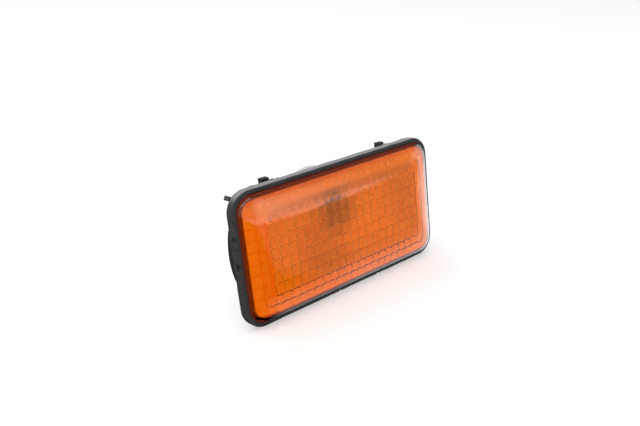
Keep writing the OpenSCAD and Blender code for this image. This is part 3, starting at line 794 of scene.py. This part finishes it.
def gasket_section():
    """Section of the gasket as (inset, out): the lip on the panel, then the wall, whose tip laps over the lens."""
    tip = [(0.5 - 0.5 * math.sin(math.pi * t / 12), 2.5 + 0.5 * math.cos(math.pi * t / 12)) for t in range(7)]
    return [(4.95, 0.0), (4.95, 0.7), (4.85, 0.8), (1.06, 0.8), (1.0, 0.9), (1.0, 1.7), (1.0, 2.5), (1.0, 2.82),
            (1.4, 2.82), (1.5, 2.87), (1.45, 2.95), (1.3, 2.99), (1.0, 3.0), *tip,
            (0.0, 2.0), (0.0, 1.5), (0.0, 1.0), (0.0, 0.5), (0.03, 0.2), (0.12, 0.05), (0.35, 0.0)]


def unevenness(x, z, out, pattern):
    along, up, start = pattern
    return noise.noise(Vector((x * along, z * along, start + out * up)))


def worn(x, z, inset, out):
    """Inset and height of a point of the gasket after wear: slightly wavy, with nicks in the lip."""
    wave = unevenness(x, z, out, WAVES)
    ripple = unevenness(x, z, out, RIPPLES)
    if inset < WALL_INSET:
        straight = max(0.0, min(1.0, (x - STRAIGHT_FROM) / STRAIGHT_RUN))
        push, by_wave, by_ripple = WALL_PUSH
        inset += (push + by_wave * wave + by_ripple * ripple) * (1 - STRAIGHT_MOST * straight)
    if out > TIP_FROM and inset < TIP_INSET:
        wear, by_wave, by_ripple = TIP_WEAR
        out -= wear + by_wave * abs(wave) + by_ripple * ripple
        for nick_x, nick_z, width, depth in NICKS:
            apart = math.hypot(x - nick_x, z - nick_z) / width
            if apart < NICK_REACH:
                torn = unevenness(x, z, out, TEARS)
                bite = depth * math.exp(-apart ** 4) * (BITE[0] + BITE[1] * torn)
                out -= bite * (0.3 + 0.5 * min(1.0, out - TIP_FROM))
                inset += TORN_IN * bite if inset < 0.6 else -0.1 * bite
    if out < REAR_EDGE and inset < REAR_EDGE and z > LUMPS_ABOVE:
        for lump_x, width, height in LUMPS:
            inset -= height * math.exp(-((x - lump_x) / width) ** 2 * 2)
    return max(0.0, inset), max(0.0, out)


def build_gasket_mesh():
    """The gasket's section, swept round its outline and worn point by point."""
    outer, inward = outline(*GASKET_OUTLINE, *GASKET_STEPS), outline(*GASKET_INWARD, *GASKET_STEPS)
    verts = []
    for inset, out in gasket_section():
        for (x, z), (in_x, in_z) in zip(outer, inward):
            moved, height = worn(x, z, inset, out)
            verts.append(at(x + (in_x - x) * moved, z + (in_z - z) * moved, height))
    return verts, loop_faces(len(outer), len(verts))


# ---------------------------------------------------------------- filament

# Half the thickness of the filament's wire in mm, and the sides of its section
WIRE_RADIUS = 0.05
WIRE_SIDES = 6
COIL_TURNS = 20
COIL_STEPS = 14


def build_coil_mesh():
    """Fine wire wound between the two lead wires."""
    low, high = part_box("bulb_filament")
    low, high = Vector(low) / MM, Vector(high) / MM
    radius = (high.z - low.z) / 2 - WIRE_RADIUS
    middle_y, middle_z = (low.y + high.y) / 2, (low.z + high.z) / 2
    run = high.x - low.x - 2 * WIRE_RADIUS
    total = COIL_TURNS * COIL_STEPS
    pitch = run / total * COIL_STEPS / (2 * math.pi)
    verts, faces = [], []
    for n in range(total + 1):
        turn = 2 * math.pi * n / COIL_STEPS
        away = Vector((0, math.cos(turn), math.sin(turn)))
        forward = Vector((pitch, -radius * math.sin(turn), radius * math.cos(turn)))
        side = forward.normalized().cross(away)
        centre = Vector((low.x + WIRE_RADIUS + run * n / total, middle_y, middle_z)) + away * radius
        for k in range(WIRE_SIDES):
            a = 2 * math.pi * k / WIRE_SIDES
            verts.append((centre + (away * math.cos(a) + side * math.sin(a)) * WIRE_RADIUS) * MM)
    for n in range(total):
        ring = [n * WIRE_SIDES + k for k in range(WIRE_SIDES)]
        faces.extend(strip(ring, [k + WIRE_SIDES for k in ring]))
    faces.append(list(range(WIRE_SIDES)))
    faces.append([total * WIRE_SIDES + k for k in range(WIRE_SIDES)])
    return verts, faces


# ---------------------------------------------------------------- stage

# The table lies this far under the lamp, in metres, so that the two don't share a face
TABLE_GAP = 0.00003
# The overhead softbox: its middle and its width, in metres
SOFTBOX_PLACE = Vector((-0.3, -0.1, 0.9))
SOFTBOX_WIDTH = 1.1
# The photograph's viewpoint: its place, and the right and upward directions of the picture
CAMERA_PLACE = Vector((-145.26, -167.22, 74.60)) * MM
CAMERA_RIGHT = Vector((0.74556, -0.65845, -0.10292))
CAMERA_UP = Vector((0.27422, 0.16235, 0.94786))
SENSOR_WIDTH = 36
CLIP_START = 0.01
# Share of plain white in the table as the camera sees it
TABLE_WHITE = 0.5
WHITE = (1, 1, 1)
ROOM_COLOR = (0.97, 0.98, 1)
# Places on the table in metres from its middle, each as where it begins and where it is full. The place where
# the light that the lens throws is painted into the table's colour, along the lamp, in front of it and under it:
LIT_ALONG, LIT_FRONT, LIT_UNDER = (0.06, 0.025), (-0.045, -0.006), (0.006, 0.0)
# The bright place to the right, by its slanted edge and towards the front, and how much that edge slants
RIGHT_EDGE, RIGHT_FRONT, RIGHT_SLANT = (0.015, 0.06), (0.04, -0.005), 1.6
# The far table, and the bright sweep in front on the left, by its distance, across and towards the front
FAR_FROM = (0.3, 1.5)
SWEEP_FROM, SWEEP_ACROSS, SWEEP_FRONT = (0.36, 0.62), (0.0, -0.12), (0.0, -0.05)
# The table from the middle to the right, and the strip at the lamp's foot, from the front and from the left
ASIDE_FROM = (-0.006, 0.012)
STRIP_FRONT, STRIP_LEFT = (-0.034, -0.012), (-0.036, -0.024)
# Parts of the room that reflect differently: a direction, and the cosines to it at which the part begins and is full
WINDOW_SIDES = ((tuple(FLOOR_NORMAL), -0.10, -0.05), ((-0.766, -0.643, 0), -0.08, 0.14),
                ((0.94, -0.342, 0), 0.45, 0.66))
ROOM_RIGHT = ((0.98, -0.2, 0), 0.85, 0.95)
ROOM_FRONT = ((0.35, -0.94, 0), 0.45, 0.75)
ROOM_BEHIND = ((0.45, 0.45, 0.77), 0.6, 0.82)


def table_material(settings):
    """Pale table with the warm light that the lens throws in front of the lamp painted into its colour. In polished
    faces its parts reflect with their own brightness."""
    material, wiring, shader = new_material("pale_table")
    ramp, times = wiring.ramp, wiring.times
    where = wiring.where()
    x, y, _ = wiring.parts(where)
    path = wiring.add("LightPath").outputs

    # The table's own look, which is partly plain white to the camera
    along = wiring.math("ABSOLUTE", x)
    # Painted light: the warm light that the lens throws, painted into the table's colour in front of the lamp
    lit = times(ramp(along, *LIT_ALONG), ramp(y, *LIT_FRONT), ramp(y, *LIT_UNDER))
    wiring.fill(shader, {
        "Base Color": wiring.blend(lit, settings.floor, settings.glow),
        "Roughness": 0.7,
        "Specular IOR Level": 0.2,
    })
    white = wiring.add("Emission", {"Color": WHITE})
    seen = wiring.add("MixShader", {
        "Fac": times(path["Is Camera Ray"], TABLE_WHITE), 1: shader.outputs[0], 2: white.outputs[0]})

    # What shows of it in polished faces, but not to rays that have come through the lens
    slanted = wiring.math("MULTIPLY_ADD", y, RIGHT_SLANT, x)
    apart = wiring.add("VectorMath", {0: where}, operation="LENGTH").outputs["Value"]
    near = settings.near_shade
    right = times(ramp(slanted, *RIGHT_EDGE), ramp(y, *RIGHT_FRONT), settings.side_shine - near)
    far = times(ramp(apart, *FAR_FROM), settings.front_shade - near)
    sweep = times(ramp(apart, *SWEEP_FROM), ramp(wiring.plus(x, y), *SWEEP_ACROSS), ramp(y, *SWEEP_FRONT),
                  settings.window)
    aside = times(ramp(x, *ASIDE_FROM), near)
    strip_light = times(ramp(y, *STRIP_FRONT), ramp(x, *STRIP_LEFT), settings.foot_light)
    shine = wiring.add("Emission", {"Strength": wiring.plus(right, far, sweep, aside, strip_light)})
    outside = wiring.math("LESS_THAN", path["Transmission Depth"], 0.5)
    reflected = wiring.add("MixShader", {
        "Fac": times(path["Is Glossy Ray"], outside), 1: seen.outputs[0], 2: shine.outputs[0]})
    wiring.feed(wiring.nodes["Material Output"].inputs["Surface"], reflected.outputs[0])
    return material


def soft_room(settings):
    """White to the camera and in clear and shiny surfaces, softer as light, with a bright window high in front of
    the lamp that shows in its polished face."""
    world = bpy.data.worlds.new("soft_room")
    world.use_nodes = True
    wiring = Wiring(world.node_tree)
    result, times, plus = wiring.math, wiring.times, wiring.plus
    path = wiring.add("LightPath").outputs
    where = wiring.where("Generated")

    def towards(direction, none, full):
        facing = wiring.add("VectorMath", {0: where, 1: direction}, operation="DOT_PRODUCT")
        return wiring.ramp(facing.outputs["Value"], none, full)

    # Outside the lamp, and inside it, where rays have come through the lens
    outside = result("LESS_THAN", path["Transmission Depth"], 0.5)
    inside = result("SUBTRACT", 1.0, outside)
    window = times(*(towards(*side) for side in WINDOW_SIDES), settings.window)
    shine = times(towards(*ROOM_RIGHT), settings.side_shine - 1)
    front = times(towards(*ROOM_FRONT), 1 - settings.front_shade)
    behind = times(towards(*ROOM_BEHIND), 1 - settings.rear_shade)
    fall = times(result("SUBTRACT", result("SUBTRACT", shine, front), behind), outside)
    lift = times(inside, settings.inside_light - 1)
    change = times(plus(fall, lift, window), path["Is Glossy Ray"])

    room = wiring.fill(wiring.nodes["Background"], {"Color": ROOM_COLOR, "Strength": settings.room})
    white = wiring.add("Background", {"Color": WHITE, "Strength": plus(1.0, change)})
    shown = result("MAXIMUM", result("MAXIMUM", path["Is Camera Ray"], path["Is Glossy Ray"]),
                   path["Is Transmission Ray"])
    mix = wiring.add("MixShader", {"Fac": shown, 1: room.outputs[0], 2: white.outputs[0]})
    wiring.feed(wiring.nodes["World Output"].inputs["Surface"], mix.outputs[0])
    return world


# ---------------------------------------------------------------- operators

class LAMP_OT_stage(bpy.types.Operator):
    """Sets the pale table, the soft lights and the camera"""
    bl_idname = "lamp.stage"
    bl_label = "Stage"

    def execute(self, context):
        scene = context.scene
        settings = scene.lamp_stage
        scene.view_settings.view_transform = "Standard"
        scene.world = soft_room(settings)
        self.add_table(scene, settings)
        self.add_softbox(scene, settings)
        self.add_camera(scene, settings)
        return {"FINISHED"}

    def add_table(self, scene, settings):
        half = settings.floor_size / 2
        mesh = bpy.data.meshes.new("table")
        mesh.from_pydata([(-half, -half, 0), (half, -half, 0), (half, half, 0), (-half, half, 0)], [], [(0, 1, 2, 3)])
        mesh.materials.append(table_material(settings))
        table = bpy.data.objects.new("table", mesh)
        tilt = FLOOR_NORMAL.to_track_quat("Z", "Y").to_matrix().to_4x4()
        table.matrix_world = Matrix.Translation(FLOOR_POINT - FLOOR_NORMAL * TABLE_GAP) @ tilt
        scene.collection.objects.link(table)

    def add_softbox(self, scene, settings):
        data = bpy.data.lights.new("softbox_overhead", "AREA")
        data.shape = "RECTANGLE"
        data.size = data.size_y = SOFTBOX_WIDTH
        data.energy = settings.key_power
        light = bpy.data.objects.new("softbox_overhead", data)
        light.location = SOFTBOX_PLACE
        light.rotation_euler = (-SOFTBOX_PLACE).to_track_quat("-Z", "Y").to_euler()
        scene.collection.objects.link(light)

    def add_camera(self, scene, settings):
        data = bpy.data.cameras.new("photo_camera")
        data.lens = settings.focal
        data.sensor_width = SENSOR_WIDTH
        data.clip_start = CLIP_START
        camera = bpy.data.objects.new("photo_camera", data)
        back = CAMERA_RIGHT.cross(CAMERA_UP)
        turn = Matrix((CAMERA_RIGHT, CAMERA_UP, back)).transposed().to_4x4()
        camera.matrix_world = Matrix.Translation(CAMERA_PLACE) @ turn
        scene.collection.objects.link(camera)
        scene.camera = camera


class LAMP_OT_lens(bpy.types.Operator):
    """Builds the amber lens with its moulded prisms"""
    bl_idname = "lamp.lens"
    bl_label = "Lens"

    def execute(self, context):
        settings = context.scene.lamp_lens
        groups = shader_groups()
        tint, satin = settings.tint, settings.satin
        # In the order of POLISHED, SATIN, RISER, EDGE, CLEARER, BAND and FOOT
        plastics = [
            amber_material(groups, "amber_polished", tint, 0.03, 0.10),
            amber_material(groups, "amber_satin", tint, satin, satin + 0.06),
            # Painted shade at the risers and row lines: darker, less clear, less shiny amber
            amber_material(groups, "amber_riser_painted_shade", settings.step_shade_tint, 0.3, 0.4, clear=0.6, gloss=0.2),
            # Painted shade at the flange and the foot of the dome: opaque, unreflecting, dark red
            amber_material(groups, "amber_edge_painted_shade", settings.edge_shade_tint, 0.3, 0.4, clear=0.0, gloss=0.0),
            amber_material(groups, "amber_clearer", tint, 0.22, 0.3),
            # Painted shade in the band round the dots: darker amber
            amber_material(groups, "amber_band_painted_shade", settings.band_shade_tint, 0.34, 0.42),
            # Painted shade at the hollow's wall and the underside: opaque, unreflecting, darker amber
            amber_material(groups, "amber_foot_painted_shade", settings.foot_shade_tint, 0.3, 0.4, clear=0.0, gloss=0.0),
        ]
        shape = LensMesh(settings)
        lens = mesh_object("amber_lens", shape.verts, shape.faces, plastics, sharp=50)
        lens.data.polygons.foreach_set("material_index", shape.kinds)
        mount_piece(lens, "lens")
        return {"FINISHED"}


class LAMP_OT_reflector(bpy.types.Operator):
    """Builds the bright tray behind the lens"""
    bl_idname = "lamp.reflector"
    bl_label = "Reflector"

    def execute(self, context):
        bright = tray_material(context.scene.lamp_finish, shader_groups())
        tray = mesh_object("reflector_tray", *build_tray_mesh(), [bright], sharp=35)
        mount_piece(tray, "reflector")
        return {"FINISHED"}


class LAMP_OT_gasket(bpy.types.Operator):
    """Builds the rubber gasket with its worn lip"""
    bl_idname = "lamp.gasket"
    bl_label = "Gasket"

    def execute(self, context):
        # The gasket's top side is lightened by a painted sheen
        rubber = moulded_material("gasket_rubber", context.scene.lamp_finish.rubber, 0.42, shader_groups(),
                                  scuff=0.18, top_sheen=0.6, gloss=0.06)
        gasket = mesh_object("rubber_gasket", *build_gasket_mesh(), [rubber], sharp=55)
        mount_piece(gasket, "gasket")
        return {"FINISHED"}


class LAMP_OT_black_parts(bpy.types.Operator):
    """Gives the housing and the seal their finishes"""
    bl_idname = "lamp.black_parts"
    bl_label = "Housing and seal"

    def execute(self, context):
        finish = context.scene.lamp_finish
        groups = shader_groups()
        dress("housing", moulded_material("housing_plastic", finish.housing, 0.38, groups, scuff=0.25))
        dress("holder_seal", moulded_material("seal_rubber", finish.rubber, 0.5, groups, scuff=0.4))
        return {"FINISHED"}


class LAMP_OT_bulb_set(bpy.types.Operator):
    """Finishes the bulb holder, its contacts and the bulb"""
    bl_idname = "lamp.bulb_set"
    bl_label = "Bulb and holder"

    def execute(self, context):
        finish = context.scene.lamp_finish
        groups = shader_groups()
        dress("bulb_holder", moulded_material("holder_plastic", finish.holder, 0.45, groups, scuff=0.15,
                                              dust=finish.holder_dust))
        brass = metal_material("contact_brass", finish.brass, 0.3, groups)
        wire = metal_material("lead_wire", finish.lead, 0.25, groups)
        for side in ("left", "right"):
            dress("contact_" + side, brass)
            dress("bulb_lead_" + side, wire)
        filament = metal_material("filament_wire", finish.filament, 0.4, groups)
        coil = mesh_object("filament_coil", *build_coil_mesh(), [filament])
        mount_piece(coil, "bulb_filament")
        dress("bulb_glass", glass_material())
        return {"FINISHED"}


class LAMP_PT_panel(bpy.types.Panel):
    """Lists the steps that dress the lamp"""
    bl_idname = "LAMP_PT_panel"
    bl_label = "Side repeater lamp"
    bl_space_type = "VIEW_3D"
    bl_region_type = "UI"
    bl_category = "Lamp"

    def draw(self, context):
        column = self.layout.column()
        for group in (context.scene.lamp_lens, context.scene.lamp_finish, context.scene.lamp_stage):
            for name in group.__annotations__:
                column.prop(group, name)
        for step in STEPS:
            column.operator(step)


CLASSES = (LensSettings, FinishSettings, StageSettings, LAMP_OT_stage, LAMP_OT_lens, LAMP_OT_reflector,
           LAMP_OT_gasket, LAMP_OT_black_parts, LAMP_OT_bulb_set, LAMP_PT_panel)
STEPS = ("lamp.stage", "lamp.lens", "lamp.reflector", "lamp.gasket", "lamp.black_parts", "lamp.bulb_set")


def register():
    for cls in CLASSES:
        bpy.utils.register_class(cls)
    bpy.types.Scene.lamp_lens = bpy.props.PointerProperty(type=LensSettings)
    bpy.types.Scene.lamp_finish = bpy.props.PointerProperty(type=FinishSettings)
    bpy.types.Scene.lamp_stage = bpy.props.PointerProperty(type=StageSettings)


def unregister():
    del bpy.types.Scene.lamp_stage
    del bpy.types.Scene.lamp_finish
    del bpy.types.Scene.lamp_lens
    for cls in reversed(CLASSES):
        bpy.utils.unregister_class(cls)


def main():
    register()
    for step in STEPS:
        group, name = step.split(".")
        getattr(getattr(bpy.ops, group), name)()


if __name__ == "__main__":
    main()
